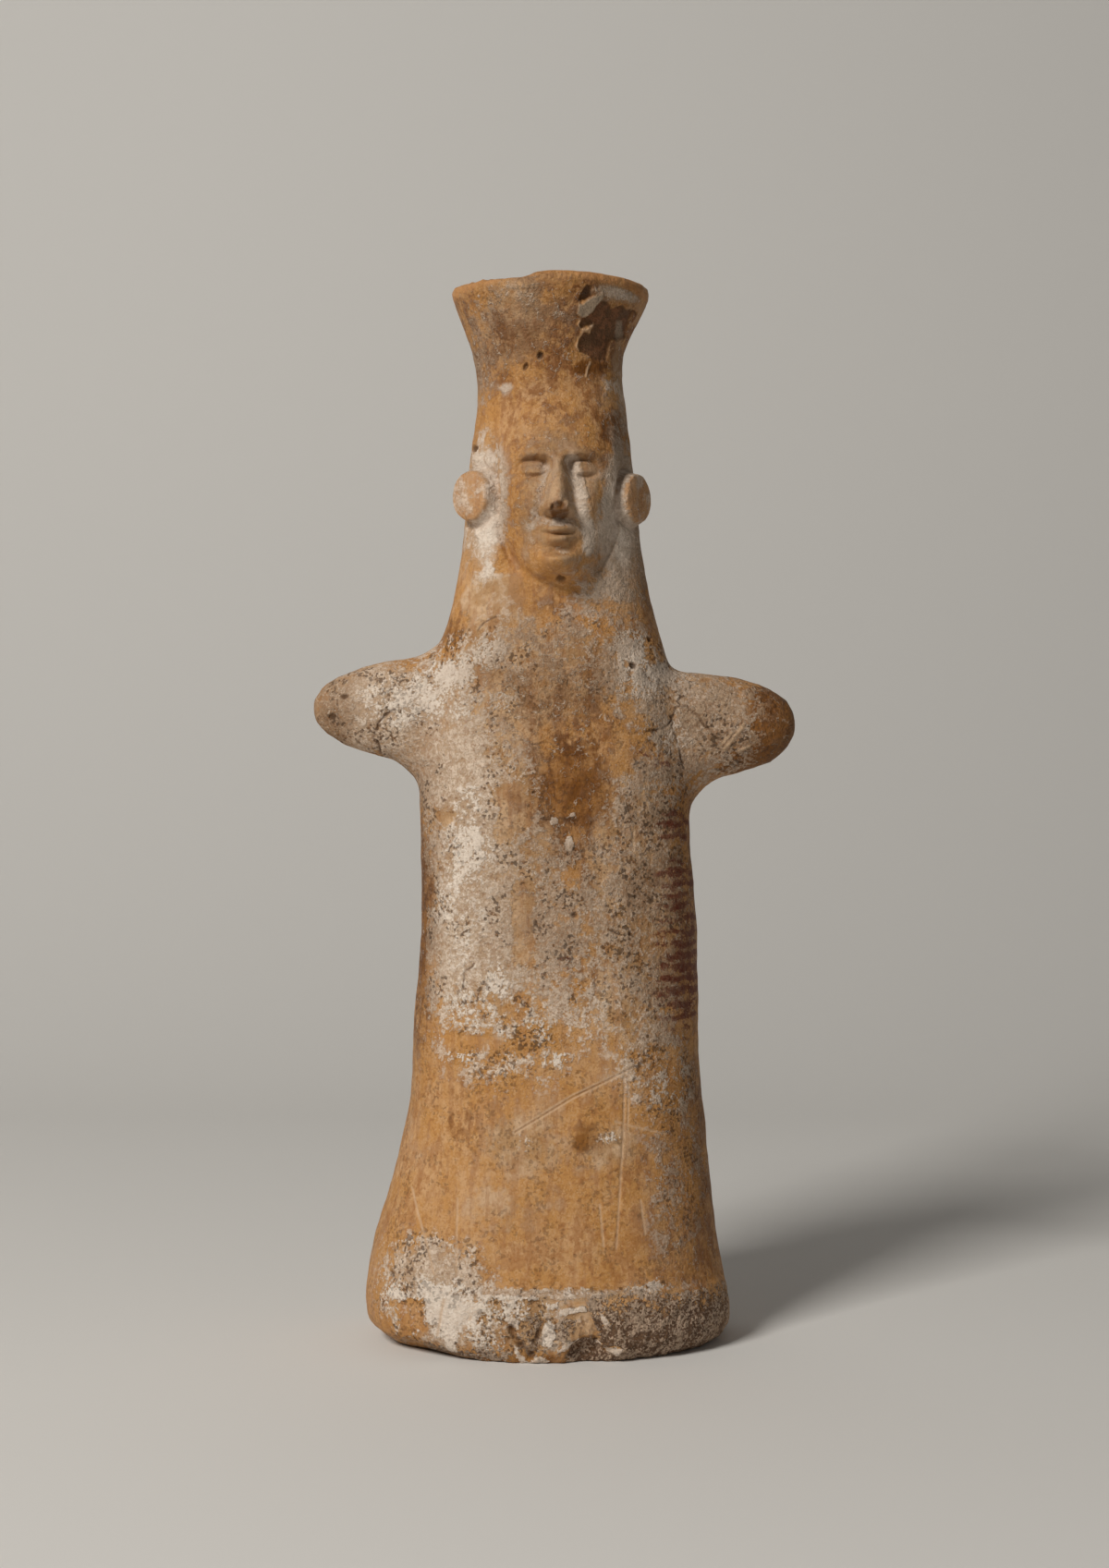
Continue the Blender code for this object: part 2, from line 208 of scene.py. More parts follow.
def face_front(across, up):
    """How far forward the face stands over its width and its height above the chin."""
    side = np.abs(across)
    half = smooth_curve(up, MASK_UP, MASK_HALF)
    front = smooth_curve(up, MASK_UP, MASK_FRONT) - MASK_FALL * np.clip(side / half, 0, 1.3) ** 2.4
    eye, brow = EYE_LINE - CHIN, BROW_LINE - CHIN
    nose, mouth = NOSE_BASE - CHIN, MOUTH_LINE - CHIN
    # Brow ridges, arched out from the root of the nose
    arch = brow + 0.6 - 0.045 * (side - 4.8) ** 2
    front += BROW_RIDGE * hump((up - arch) / 2.6) * hump((side - 5.0) / 6.2)
    # Sockets, eyeballs under heavy lids, and the fine creases of the lids
    front -= SOCKET * spot(side, up, (EYE, eye), (5.2, 3.8))
    front += EYEBALL * spot(side, up, (EYE * 1.06, eye - 0.3), (4.0, 2.6))
    lid = eye + 0.1 + 1.45 * np.sqrt(np.clip(1 - ((side - EYE * 1.06) / 3.4) ** 2, 0, 1))
    under_lid = eye - 0.6 - 1.0 * np.sqrt(np.clip(1 - ((side - EYE * 1.06) / 3.2) ** 2, 0, 1))
    in_lids = hump((side - EYE * 1.06) / 4.0)
    front += UPPER_LID * hump((up - lid + 0.55) / 0.7) * in_lids
    front -= UPPER_CREASE * hump((up - lid - 0.35) / 0.75) * in_lids
    front += LOWER_LID * hump((up - under_lid - 0.45) / 0.6) * in_lids
    front -= LOWER_CREASE * hump((up - under_lid + 0.25) / 0.7) * in_lids
    front -= EYE_CORNER * spot(side, up, (2.7, eye + 0.4), (1.9, 3.2))
    # Cheeks, and the fuller flesh around the mouth
    front += CHEEK * spot(side, up, (7.2, nose + 2.8), (4.8, 6.0))
    front += MUZZLE * spot(side, up, (0.0, mouth + 0.6), (6.4, 4.6))
    # The nose: a straight ridge that widens to its tip, cut off square below
    fall = np.clip((brow + 1.0 - up) / (brow + 1.0 - nose), 0, 1)
    ridge = hump(side / (2.5 + 1.5 * fall)) ** 0.7
    rooted = rise(up, nose - 0.7, nose + 0.7) * (1 - rise(up, brow - 2.5, brow + 3.5))
    front += (NOSE_ROOT + NOSE_RISE * fall**1.1) * ridge * rooted
    front += NOSTRIL_WING * spot(side, up, (2.5, nose + 1.4), (1.7, 1.8))
    front -= NOSTRIL_CREASE * spot(side, up, (2.9, nose + 2.0), (0.8, 1.6))
    front -= NOSE_BREAK * spot(across, up, (0.3, nose + 1.0), (2.3, 1.8))
    # Lips parted by a fine line that turns up a little at its ends, and the hollow below
    smile = mouth + 0.035 * side**2
    front += LIP * hump((up - smile - 1.0) / 1.4) * hump(side / 4.8)
    front += LIP * hump((up - smile + 1.25) / 1.6) * hump(side / 4.1)
    front -= LIP_PARTING * hump((up - smile) / 0.65) * hump(side / 5.2)
    front -= LIP_DIMPLE * spot(side, up, (0.0, mouth + 2.7), (0.8, 1.3))
    front -= CHIN_HOLLOW * spot(side, up, (0.0, mouth - 3.9), (4.8, 1.8))
    # The chin
    front += CHIN_BALL * spot(side, up, (0.0, 3.2), (6.2, 3.8))
    return front


def on_face(x, y, z):
    """True for the face and a little round it."""
    return (np.abs(x - FACE_MIDDLE) < 14.5) & (z > CHIN - 4) & (z < 209) & (y < -7)


refine_skin(on_face, 3)
points = skin_places()
across, up = points[:, 0] - FACE_MIDDLE, points[:, 2] - CHIN
half = smooth_curve(up, MASK_UP, MASK_HALF)
on_mask = 1 - rise(np.abs(across), half - 1.6, half + 0.8)
on_mask *= rise(up, -1.6, 0.6) * (1 - rise(up, 34, 43)) * (points[:, 1] < 0)
points[:, 1] += on_mask * (-face_front(across, up) - points[:, 1])
beside = hump((np.abs(across) - half - 1.2) / 1.6) * rise(up, -1, 5) * (1 - rise(up, 28, 36))
points[:, 1] += MASK_GROOVE * beside * (points[:, 1] < 0)
reshape_skin(points)
smooth_skin(1, np.clip(on_mask + 0.3, 0, 0.8))

# The ear discs: two flat round pellets pressed on beside the face, each given by its middle
# and the way its face looks, in degrees about the vertical.
DISCS = (((-17.3, -8.3, 191.8), 225.0), ((18.1, -6.6, 191.4), -31.0))
DISC_RADIUS = 5.9
DISC_FACE = 2.7
DISC_DOME = 0.7
DISC_GROOVE = 0.9


def disc_places(points):
    """For each disc: the way it faces, and how far each point lies along and from its axis."""
    for middle, looks in DISCS:
        outward = np.array([math.cos(math.radians(looks)), math.sin(math.radians(looks)), 0.0])
        offset = points - np.array(middle)
        along = offset @ outward
        away = np.linalg.norm(offset - along[:, None] * outward, axis=1)
        yield outward, along, away


def on_ears(x, y, z):
    """True for the discs and a little round them, where the face isn't."""
    return (np.abs(np.abs(x) - 18) < 7.5) & (np.abs(z - 191.5) < 7.5) & (y < 0) & ~on_face(x, y, z)


refine_skin(on_ears, 2)
points = skin_places()
for outward, along, away in disc_places(points):
    in_reach = (along > -4) & (away < DISC_RADIUS + 3)
    on_disc = (1 - rise(away, DISC_RADIUS - 0.5, DISC_RADIUS + 0.1)) * in_reach
    stands = DISC_FACE - DISC_DOME * (away / DISC_RADIUS) ** 3
    around = hump((away - DISC_RADIUS - 1.0) / 1.4) * in_reach
    points += (on_disc * (stands - along) - DISC_GROOVE * around)[:, None] * outward
reshape_skin(points)

# Breaks and wear: the clay has lost flakes from its foot and its headdress, drying cracks
# run round the stubs of the arms, and the skirt is scratched. Each line is its kind, its
# half width, its depth, and the places across and up that it runs through.
LINES = (
    ("groove", 0.16, 0.20, ((-8.1, 49.8), (4.5, 57.4), (17.6, 63.5))),
    ("scratch", 0.20, 0.22, ((16.2, 62.7), (16.0, 50.8), (14.2, 24.7))),
    ("scratch", 0.20, 0.12, ((17.2, 62.3), (16.9, 50.0))),
    ("scratch", 0.22, 0.12, ((10.6, 34.1), (11.4, 25.2))),
    ("scratch", 0.20, 0.10, ((19.6, 34.7), (20.6, 27.3))),
    ("scratch", 0.24, 0.15, ((-31.2, 36.0), (-26.7, 21.5), (-25.8, 17.5))),
    ("scratch", 0.22, 0.22, ((-20.8, 35.0), (-21.0, 19.4))),
    ("scratch", 0.26, 0.15, ((-23.8, 13.3), (-25.1, 5.5))),
    ("scratch", 0.20, 0.08, ((14.1, 51.9), (25.3, 48.6))),
    ("scratch", 0.20, 0.08, ((18.3, 116.0), (18.3, 111.4))),
    ("scratch", 0.20, -0.25, ((8.6, 221.4), (8.0, 219.8), (7.7, 218.3))),
    ("scratch", 0.40, -0.25, ((43.4, 139.8), (39.3, 134.4))),
    ("scratch", 0.32, -0.20, ((40.9, 138.1), (38.8, 135.8))),
    ("scratch", 0.32, -0.20, ((45.0, 135.2), (42.7, 134.0))),
    ("crack", 0.26, 0.45, ((-35.4, 143.8), (-39.6, 140.7), (-40.4, 136.9), (-38.7, 133.0))),
    ("crack", 0.26, 0.40, ((28.5, 144.0), (30.8, 144.4), (33.1, 141.9), (36.7, 138.1), (38.4, 137.0))),
    ("crack", 0.22, 0.30, ((18.8, 138.0), (23.1, 138.2), (26.5, 140.2), (28.5, 144.0))),
    ("crack", 0.22, 0.35, ((27.0, 141.9), (28.3, 136.4), (30.0, 131.0))),
    ("crack", 0.20, 0.25, ((-17.3, 86.1), (-19.4, 84.6), (-20.2, 80.4))),
    ("crack", 0.18, 0.12, ((-4.7, 135.8), (-1.6, 135.7), (2.1, 134.2))),
    ("crack", 0.20, 0.20, ((-12.6, 164.0), (-15.6, 163.0), (-16.8, 161.2))),
    ("crack", 0.26, 0.25, ((-2.0, 118.6), (2.0, 118.9), (6.0, 118.2))),
    ("crack", 0.60, 1.00, ((-8.8, 8.5), (-7.0, 4.8), (-4.9, 1.6))),
    ("crack", 0.50, 0.90, ((-2.0, 9.5), (-3.4, 5.0), (-4.6, 2.0))),
)

# Pits: the middle across and up, the radius and the depth
PITS = (
    (-2.5, 222.4, 0.9, 0.8),
    (-5.8, 220.3, 0.7, 0.6),
    (-17.6, 203.4, 0.9, 0.6),
    (-50.0, 142.0, 1.0, 0.5),
    (-47.3, 146.4, 0.7, 0.5),
    (17.5, 93.1, 0.6, 0.5),
    (5.1, 97.3, 0.7, 0.5),
    (-3.5, 124.6, 0.5, 0.4),
    (18.1, 153.1, 1.0, 0.6),
    (22.2, 159.3, 0.8, 0.5),
    (-35.6, 17.5, 0.8, 0.6),
    (2.0, 172.4, 0.9, 0.7),
)

# The jagged patch on the left of the headdress where the surface has come away, the thin
# blade of it still standing and the hole beside that, and the chip out of the foot's edge
LOST_OUTLINE = (
    (10.9, 235.1), (12.3, 235.0), (13.2, 234.1), (14.0, 233.2), (14.6, 234.1), (15.5, 234.6),
    (17.2, 234.1), (18.5, 234.3), (19.5, 234.5), (18.5, 232.9), (17.7, 230.7), (17.0, 228.5),
    (15.6, 227.6), (13.6, 227.0), (12.9, 224.8), (12.3, 222.3), (11.0, 221.9), (9.1, 222.3),
    (6.5, 223.6), (5.9, 224.5), (6.3, 226.2), (7.0, 227.6), (8.7, 227.9), (9.5, 228.9),
    (9.4, 229.7), (8.5, 229.0), (6.8, 228.5), (6.3, 229.6), (6.8, 230.6), (7.9, 232.9),
)
LOST_DEPTH = 0.5
BLADE_OUTLINE = (
    (5.9, 233.8), (5.7, 232.3), (5.5, 231.5), (6.8, 230.7), (7.9, 231.0), (9.1, 232.0), (10.1, 233.5),
    (11.5, 235.1), (11.4, 236.5), (10.8, 235.9), (9.3, 235.4), (7.9, 234.5), (6.7, 233.5),
)
BLADE_HEIGHT = 0.35
HOLE_OUTLINE = (
    (5.9, 234.1), (6.5, 235.5), (7.1, 236.6), (7.9, 237.6), (8.8, 237.4), (8.9, 236.0), (9.0, 235.2),
    (7.6, 234.3),
)
HOLE_DEPTH = 0.7
FOOT_CHIP = (
    (2.4, -3.0), (3.4, 4.2), (5.0, 5.4), (6.5, 6.9), (9.9, 7.2), (11.4, 4.4), (13.6, 2.0), (14.5, -3.0),
)
FOOT_CHIP_DEPTH = 1.5

# Flakes of slip left on the foot's front and on the chest, the dark spots between them, the
# crust of burial earth on the foot's left half, and patches where the slip has peeled off
FLAKES = (
    ((-9.9, 10.1), (-8.6, 10.7), (-7.2, 9.4), (-6.9, 7.4), (-8.6, 8.1)),
    ((-1.8, 9.4), (-0.2, 10.1), (0.9, 9.1), (0.9, 6.4), (-0.2, 4.0), (-1.8, 4.3), (-2.2, 7.0)),
    ((-2.5, 13.8), (-0.2, 13.4), (1.4, 13.8), (1.2, 12.4), (-0.2, 12.1)),
    ((1.9, 12.4), (4.9, 12.9), (7.6, 12.4), (7.6, 11.6), (4.9, 11.1), (3.2, 10.7), (1.9, 10.7)),
    ((1.2, 2.7), (2.5, 4.4), (5.9, 6.1), (6.8, 6.2), (5.2, 4.3), (3.6, 3.0)),
    ((-8.6, 5.0), (-7.6, 4.0), (-5.5, 1.0), (-1.8, 2.0), (-0.2, 0.7), (-2.2, -0.5), (-6.9, -0.5)),
    ((-21.2, 8.1), (-17.3, 10.7), (-15.3, 11.8), (-14.6, 13.4), (-19.4, 13.4), (-21.7, 9.4)),
    ((-23.7, 5.0), (-22.1, 6.0), (-20.7, 4.0), (-20.4, 1.7), (-22.7, 2.0)),
    ((11.3, 3.3), (14.0, 4.0), (15.7, 3.0), (14.0, 1.7), (11.6, 2.3)),
    ((9.5, 4.7), (10.3, 5.2), (10.9, 4.0), (9.3, 3.6)),
    ((11.0, 11.6), (12.0, 10.3), (13.0, 8.4), (11.6, 8.6), (10.6, 10.4)),
    ((3.2, 112.2), (3.0, 113.6), (3.9, 115.2), (4.9, 114.6), (4.8, 113.0), (4.0, 111.9)),
    ((-0.3, 117.7), (-0.1, 118.9), (1.3, 119.0), (1.5, 117.9)),
    ((3.6, 119.0), (4.2, 120.1), (5.4, 120.0), (5.0, 119.0)),
    ((-15.5, 15.2), (-9.0, 15.0), (-2.5, 14.7), (-2.5, 14.0), (-9.0, 14.3), (-15.5, 14.4)),
)
DARK_SPOTS = (
    ((-5.5, 11.4), (-2.8, 11.8), (-1.8, 9.7), (-2.5, 7.4), (-2.2, 5.0), (-2.8, 2.7), (-4.9, 3.3),
     (-5.9, 5.7), (-5.2, 8.4)),
    ((1.2, 9.7), (3.2, 10.4), (5.2, 9.7), (5.6, 7.4), (3.2, 5.7), (1.2, 5.7)),
    ((-4.6, 17.4), (-2.0, 17.0), (-2.4, 14.6), (-3.8, 14.8)),
)
CRUST_OUTLINE = (
    (7.9, 14.9), (7.6, 12.4), (8.6, 10.0), (10.0, 7.4), (10.3, 5.8), (6.6, 5.6), (5.2, 4.0),
    (3.2, 2.0), (4.2, -1.0), (60.0, -1.0), (60.0, 13.0), (29.0, 14.4), (18.0, 16.5), (13.0, 16.3),
)
BARE = (
    ((-14.8, 125.7), (-6.5, 126.2), (-3.5, 120.0), (-8.6, 113.9), (-13.2, 112.9), (-11.7, 120.0)),
    ((-26.0, 120.0), (-20.9, 121.0), (-21.4, 117.0), (-25.5, 117.0)),
    ((-18.9, 154.2), (-10.6, 152.0), (-11.2, 146.7), (-16.8, 148.8)),
    ((-25.0, 71.2), (-10.6, 71.2), (-10.2, 67.8), (-24.0, 67.2)),
    ((-17.5, 82.5), (-8.6, 77.0), (-6.0, 73.5), (-9.6, 73.9)),
    ((-9.2, 104.6), (-3.6, 104.6), (-3.6, 86.2), (-8.4, 86.8)),
    ((-30.5, 108.0), (-26.0, 104.6), (-26.6, 98.5), (-31.0, 98.0)),
    ((-34.5, 12.0), (-28.5, 13.5), (-27.0, 6.5), (-33.5, 3.5)),
    ((-40.0, 126.0), (-29.6, 122.0), (-28.2, 100.0), (-28.8, 78.0), (-31.0, 60.0), (-40.0, 60.0)),
)
FLAKE_HEIGHT = 0.15
CURL_HEIGHT = 0.25
BAND_TOP = 15.4
BAND_HEIGHT = 0.6

# The lumps that the fingers left, and those of the rough band: their height, their size and
# where their noise starts
FINGER_MARKS = ((0.26, 9.0, 0.0), (0.13, 3.4, 5.0), (0.07, 1.9, 6.0))
BAND_LUMPS = ((0.34, 2.4, 31.0), (0.22, 1.2, 37.0))


def line_distance(across, up, places):
    """How far each point lies from a line through the places."""
    nearest = np.full(len(across), 99.0)
    for (x0, z0), (x1, z1) in zip(places, places[1:]):
        run = math.hypot(x1 - x0, z1 - z0)
        along = np.clip(((across - x0) * (x1 - x0) + (up - z0) * (z1 - z0)) / run**2, 0, 1)
        gap = np.hypot(across - x0 - along * (x1 - x0), up - z0 - along * (z1 - z0))
        nearest = np.minimum(nearest, gap)
    return nearest


def depth_inside(across, up, outline):
    """How far each point lies inside a closed outline, below nothing where it is outside."""
    ring = (*outline, outline[0])
    inside = np.zeros(len(across), bool)
    for (x0, z0), (x1, z1) in zip(ring, ring[1:]):
        crossing = x0 + (up - z0) * (x1 - x0) / ((z1 - z0) or 1.0)
        inside ^= ((z0 > up) != (z1 > up)) & (across < crossing)
    return np.where(inside, 1.0, -1.0) * line_distance(across, up, ring)


def lumps(points, size, seed=0.0):
    """Smooth noise from about -1 to 1 whose lumps are size millimetres across."""
    shift = Vector((seed, seed * 1.7, seed * 2.3))
    return np.array([noise.noise(Vector(point) / size + shift) for point in points])


def on_lost_patch(x, y, z):
    """True for the headdress around the lost patch."""
    return (x > 3) & (z > 217) & (z < 238) & (y < 0)


def on_foot_front(x, y, z):
    """True for the broken lower front of the foot."""
    return (z < 17) & (z > 0.4) & (y < -18)


def on_marks_alone(x, y, z):
    """True for what a line or a pit touches on the front, where nothing else is made finer."""
    near = np.zeros(len(x), bool)
    for _, half_width, _, places in LINES:
        near |= line_distance(x, z, places) < half_width + 0.9
    for across, up, radius, _ in PITS:
        near |= np.hypot(x - across, z - up) < radius + 0.8
    for outline in FLAKES:
        near |= depth_inside(x, z, outline) > -0.8
    finer = on_foot_front(x, y, z) | on_face(x, y, z) | on_lost_patch(x, y, z)
    return near & (y < 0) & ~finer


refine_skin(on_lost_patch, 3)
refine_skin(on_foot_front, 2)
refine_skin(on_marks_alone, 3)

points = skin_places()
x, y, z = points.T
keep_face = 0.75 * hump((z - 190) / 24) * (y < -10)
keep_discs = hump(np.hypot((np.abs(x) - 18) / 10, (z - 191.6) / 9)) * (y < 1)
smooth_skin(3, 0.7 * (1 - np.maximum(keep_face, rise(keep_discs, 0.0, 0.3))))
points = skin_places()
normals = skin_normals()
x, y, z = points.T
front = rise(-normals[:, 1], 0.0, 0.3)

# Unevenness left by the fingers, least on the face
relief = np.zeros(len(x))
for lump_height, size, seed in FINGER_MARKS:
    relief += lump_height * lumps(points, size, seed)
relief *= (1 - keep_face) * rise(z, 0.5, 3)

# The lost patch with its jagged edge, the blade and the hole
jag_x = x + 0.5 * lumps(points, 1.3, 11.0)
jag_z = z + 0.5 * lumps(points, 1.3, 17.0)
lost_depth = depth_inside(jag_x, jag_z, LOST_OUTLINE)
lost = rise(lost_depth, -0.15, 0.3) * front
curled = hump((lost_depth + 0.30) / 0.35) * front * rise(-x, -14, -11) * rise(z, 222, 225)
curled *= 0.4 + 0.6 * rise(lumps(points, 1.8, 19.0), -0.3, 0.2)
blade_depth = depth_inside(x, z, BLADE_OUTLINE)
blade = rise(blade_depth, -0.1, 0.25) * front
hole = rise(depth_inside(x, z, HOLE_OUTLINE), -0.1, 0.25) * front * (1 - blade)
lifted = BLADE_HEIGHT + 0.10 * np.clip(8.5 - x, 0, 4)
relief += np.where(blade > 0.3, lifted, CURL_HEIGHT * curled - LOST_DEPTH * lost) - HOLE_DEPTH * hole

# The lines, which break up and change in width as they run, and the pits
cracked = np.zeros(len(x))
scratched = 0.8 * curled * (1 - blade)
wander_x = x + 0.7 * lumps(points, 3.1, 7.0) + 0.25 * lumps(points, 1.2, 8.0)
wander_z = z + 0.7 * lumps(points, 3.1, 9.0) + 0.25 * lumps(points, 1.2, 10.0)
broken = rise(lumps(points, 2.6, 12.0), -0.45, 0.15)
for kind, half_width, depth, places in LINES:
    loose = kind == "crack"
    away = line_distance(wander_x if loose else x, wander_z if loose else z, places)
    line = hump(away / (half_width * 1.8)) * front * (0.35 + 0.65 * broken if loose else 1.0)
    relief -= depth * line
    if kind == "groove":
        cracked = np.maximum(cracked, 0.40 * line)
        line = hump((away - 2.4 * half_width) / 0.35) * front
    if loose:
        cracked = np.maximum(cracked, line)
    else:
        scratched = np.maximum(scratched, line)
for across, up, radius, depth in PITS:
    pit = rise(1 - np.hypot(wander_x - across, wander_z - up) / radius, -0.1, 0.35) * front
    relief -= depth * pit
    cracked = np.maximum(cracked, pit)

# The rough band round the foot, and the chip out of its lower edge
band_edge = BAND_TOP + 0.5 * lumps(points, 5.0, 21.0) + 0.25 * lumps(points, 1.6, 23.0)
band = rise(band_edge - z, -0.25, 0.35) * rise(x, -24, -14) * front
rough = np.zeros(len(x))
for lump_height, size, seed in BAND_LUMPS:
    rough += lump_height * lumps(points, size, seed)
relief += band * (BAND_HEIGHT * (1 - rise(band_edge - z, 1.0, 7.0) * 0.8) + rough)
chip = rise(depth_inside(wander_x, wander_z, FOOT_CHIP), -0.1, 1.8) * front
relief -= chip * rise(z, 0.0, 3.0) * (FOOT_CHIP_DEPTH + 0.5 * lumps(points, 1.8, 41.0))

flakes = np.zeros(len(x))
for outline in FLAKES:
    flakes = np.maximum(flakes, rise(depth_inside(jag_x, jag_z, outline), -0.1, 0.2) * front)
dark_spots = np.zeros(len(x))
for outline in DARK_SPOTS:
    dark_spots = np.maximum(dark_spots, rise(depth_inside(jag_x, jag_z, outline), -0.6, 0.6) * front)
bare = np.zeros(len(x))
for outline in BARE:
    bare = np.maximum(bare, rise(depth_inside(wander_x, wander_z, outline), -0.6, 0.9) * front)
crust_here = rise(depth_inside(wander_x, wander_z, CRUST_OUTLINE), -0.5, 0.8) * front
relief += FLAKE_HEIGHT * flakes

reshape_skin(points + normals * relief[:, None])

# What lies on the clay: a veil of chalky slip, thicker remains of it, a cream film, brown
# stains, grimy patches, dark red paint down the left flank, and burial crust. Some of the
# brown and grimy patches are painted shade: under the arms, along the foot's lower edge, over
# the headdress and down the shaded left side. Each patch is its middle across and up, its
# half sizes, and the share of the clay that it covers.
VEIL = (
    (-40, 145, 24, 17, 0.95),
    (-24, 143, 12, 14, 0.60),
    (-18, 122, 18, 24, 0.90),
    (-19, 92, 20, 28, 0.88),
    (0, 96, 18, 22, 0.75),
    (2, 76, 14, 12, 0.40),
    (21, 108, 13, 36, 0.70),
    (22, 70, 12, 22, 0.50),
    (28, 40, 10, 28, 0.42),
    (0, 157, 26, 12, 0.52),
    (-17, 153, 12, 9, 0.70),
    (21, 150, 14, 12, 0.70),
    (38, 141, 20, 14, 0.85),
    (-30, 131, 11, 10, 0.75),
    (29, 131, 9, 9, 0.60),
    (-10, 66, 22, 11, 0.36),
    (-26, 20, 15, 9, 0.85),
    (-25, 12, 16, 12, 0.95),
    (-18, 3.5, 18, 5, 0.60),
    (4, 15.5, 30, 1.5, 0.80),
    (-2, 8, 12, 8, 0.42),
    (-15.5, 190, 7, 20, 1.00),
    (16.5, 187, 6.5, 22, 1.00),
    (1, 192, 14, 18, 0.22),
    (-12, 171, 12, 10, 0.18),
    (13, 171, 12, 12, 0.60),
    (-9, 234, 14, 7, 0.34),
    (-17, 222, 6, 18, 0.45),
    (6, 229, 8, 8, 0.25),
    (15, 212, 5, 12, 0.40),
)
SLIP = (
    (3.9, 113.4, 1.3, 2.0, 1.00),
    (0.5, 118.0, 1.0, 1.0, 0.90),
    (4.5, 119.6, 0.9, 0.7, 0.90),
    (-25, 146, 14, 9, 0.40),
    (-20, 100, 9, 22, 0.28),
    (-12, 76, 12, 12, 0.25),
    (-18.9, 152.5, 10, 4.5, 0.75),
    (-13.4, 157, 5, 3.5, 0.65),
    (-10.6, 145.4, 5, 4, 0.60),
    (-31, 146, 9, 7, 0.60),
    (-39, 144, 9, 7, 0.50),
    (-19, 122.6, 4.5, 5, 0.60),
    (-18, 112, 7, 8, 0.55),
    (-6, 100, 3, 9, 0.30),
    (-25.7, 99.7, 2.6, 5, 0.60),
    (-12, 83.6, 3, 5, 0.65),
    (-19, 77, 7, 5, 0.35),
    (24.8, 124.1, 6, 8, 0.40),
    (-2.8, 72.2, 3.5, 3, 0.60),
    (-20.3, 67, 4, 3, 0.60),
    (0.8, 66, 4, 3, 0.40),
    (-5.3, 47.5, 4, 3, 0.40),
    (12.9, 48.8, 4, 3, 0.40),
    (26.6, 59, 7, 9, 0.40),
    (-26, 13, 14, 6, 0.85),
    (-22, 10, 9, 6, 1.00),
    (-14, 4, 6, 3.5, 0.60),
    (-31, 7, 4, 5, 0.50),
    (-22, 2, 9, 2, 0.45),
    (-8, 11.5, 8, 3.5, 0.50),
    (10, 15.7, 20, 1.0, 0.45),
    (23, 16, 3, 2, 0.60),
    (-15.0, 191, 5, 17, 0.80),
    (-14.5, 179, 4, 9, 0.50),
    (16.0, 190, 5, 17, 1.00),
    (14, 182, 5, 12, 0.90),
    (12, 170, 9, 4, 0.55),
    (17.7, 156.3, 5, 6, 0.75),
    (21.2, 149.9, 8, 6, 0.80),
    (27, 138, 7, 7, 0.65),
    (28, 150, 7, 5, 0.50),
    (36, 145, 8, 6, 0.40),
    (-10.4, 215.8, 2.2, 1.4, 0.80),
    (13, 217, 2.5, 3, 0.50),
    (-9, 236, 7, 2.5, 0.45),
    (14.5, 236.6, 6, 1.8, 0.85),
)
FILM = (
    (-6, 47, 9, 7, 0.60),
    (13, 47, 8, 7, 0.60),
    (-4, 46, 28, 24, 0.36),
    (-14, 110, 22, 50, 1.00),
    (18, 100, 16, 46, 0.95),
    (0, 152, 26, 16, 0.90),
    (30, 145, 12, 16, 0.90),
    (-40, 144, 22, 15, 0.70),
    (38, 141, 16, 12, 0.60),
    (2, 190, 14, 24, 0.85),
    (-13, 168, 11, 9, 0.80),
    (-17, 160, 6, 5, 0.50),
    (-31, 66, 4, 12, 0.40),
    (-12, 32, 14, 9, 0.35),
    (-30, 47, 6, 12, 0.30),
    (-3, 9, 20, 8, 1.00),
    (4, 15.2, 26, 1.6, 0.90),
    (-9, 230, 13, 14, 0.80),
    (15.3, 229, 1.6, 4.5, 0.60),
    (15.5, 220, 3, 8, 0.70),
    (14, 236.4, 8, 2.4, 0.95),
)
# Brown stains; the bands under both arms, the band along the foot's lower edge and the patches on the
# left arm's tip are painted shade. One more darkens a strip down the right flank's edge.
STAIN_AND_SHADE = (
    (3.0, 125, 18, 18, 0.55),
    (5.0, 125, 10, 11, 0.55),
    (6, 105, 8, 14, 0.45),
    (7, 84, 7, 14, 0.45),
    (8.3, 49.3, 5, 5.5, 0.62),
    (6.3, 47.3, 2.2, 2.2, 0.90),
    (-16, 60, 12, 9, 0.18),
    (-21, 52.4, 6, 11, 0.35),
    (14, 207, 5, 8, 0.80),
    (-22.5, 160, 5, 8, 0.60),
    (54, 139, 17, 17, 1.00),
    (48, 136, 11, 11, 0.45),
    (45, 131, 12, 4, 0.60),
    (-53, 142, 11, 13, 0.75),
    (-45, 131, 12, 4, 0.80),
    (9, 152, 5, 9, 0.60),
    (-1, 166, 8, 4, 0.50),
    (-30, 95, 5, 36, 0.75),
    (6.7, 220.2, 2.4, 2.0, 1.00),
    (10, 221, 5, 3, 0.60),
    (0, 211, 14, 8, 0.25),
    (-15, 226, 8, 16, 0.45),
    (-4, 1, 60, 2.2, 0.60),
)
